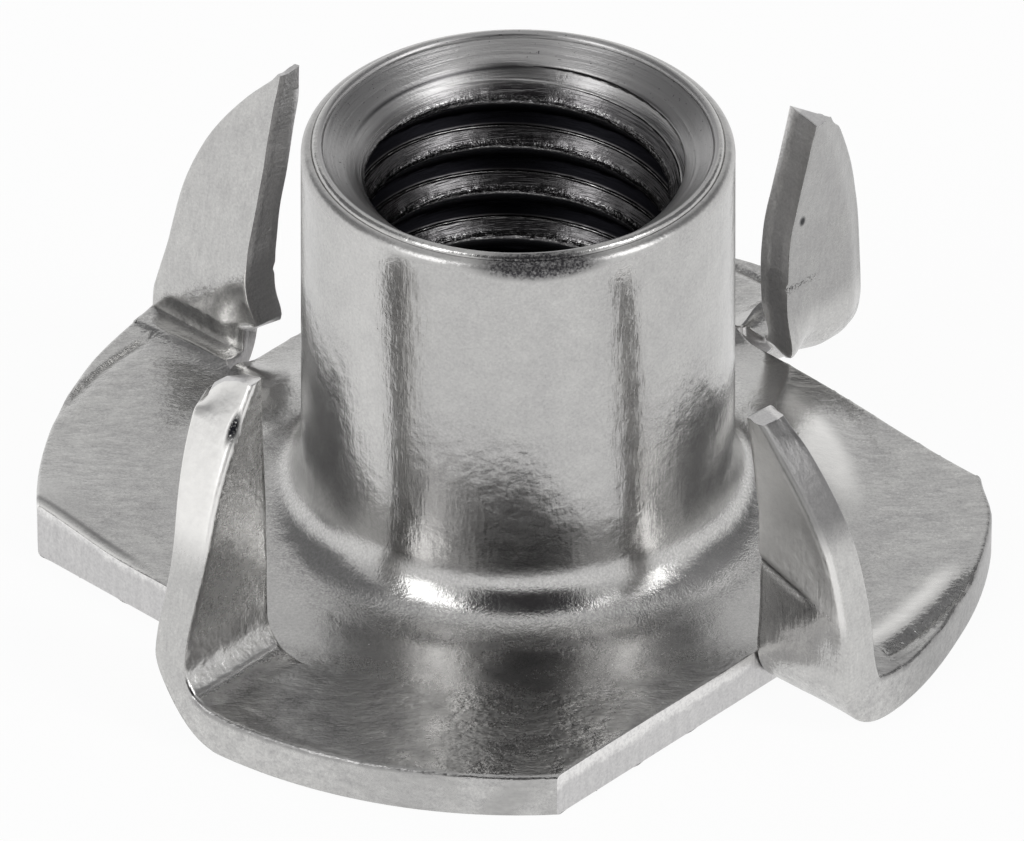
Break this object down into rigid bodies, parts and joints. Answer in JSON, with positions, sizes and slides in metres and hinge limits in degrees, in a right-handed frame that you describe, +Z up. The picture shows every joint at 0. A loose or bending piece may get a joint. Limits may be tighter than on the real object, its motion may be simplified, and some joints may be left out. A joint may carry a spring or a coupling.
{
  "type": "tee nut",
  "caption": "Tee nut: a threaded barrel on a flat lobed flange with sharp upright prongs, hammered into timber to give it a machine thread.",
  "frame": {"origin": "on the bore axis, on the flange's underside", "axes": "+Z up the barrel, along the bore axis, towards the lip and the prongs' tips; +X through the middle of one lobe"},
  "size_m": [0.022, 0.022, 0.0108],
  "materials": {
    "steel": "bright stamped sheet with fine draw lines up the barrel and wrinkle grain on the flange"
  },
  "bodies": {
    "root": {"tee_nut": "steel"}
  },
  "joints": []
}
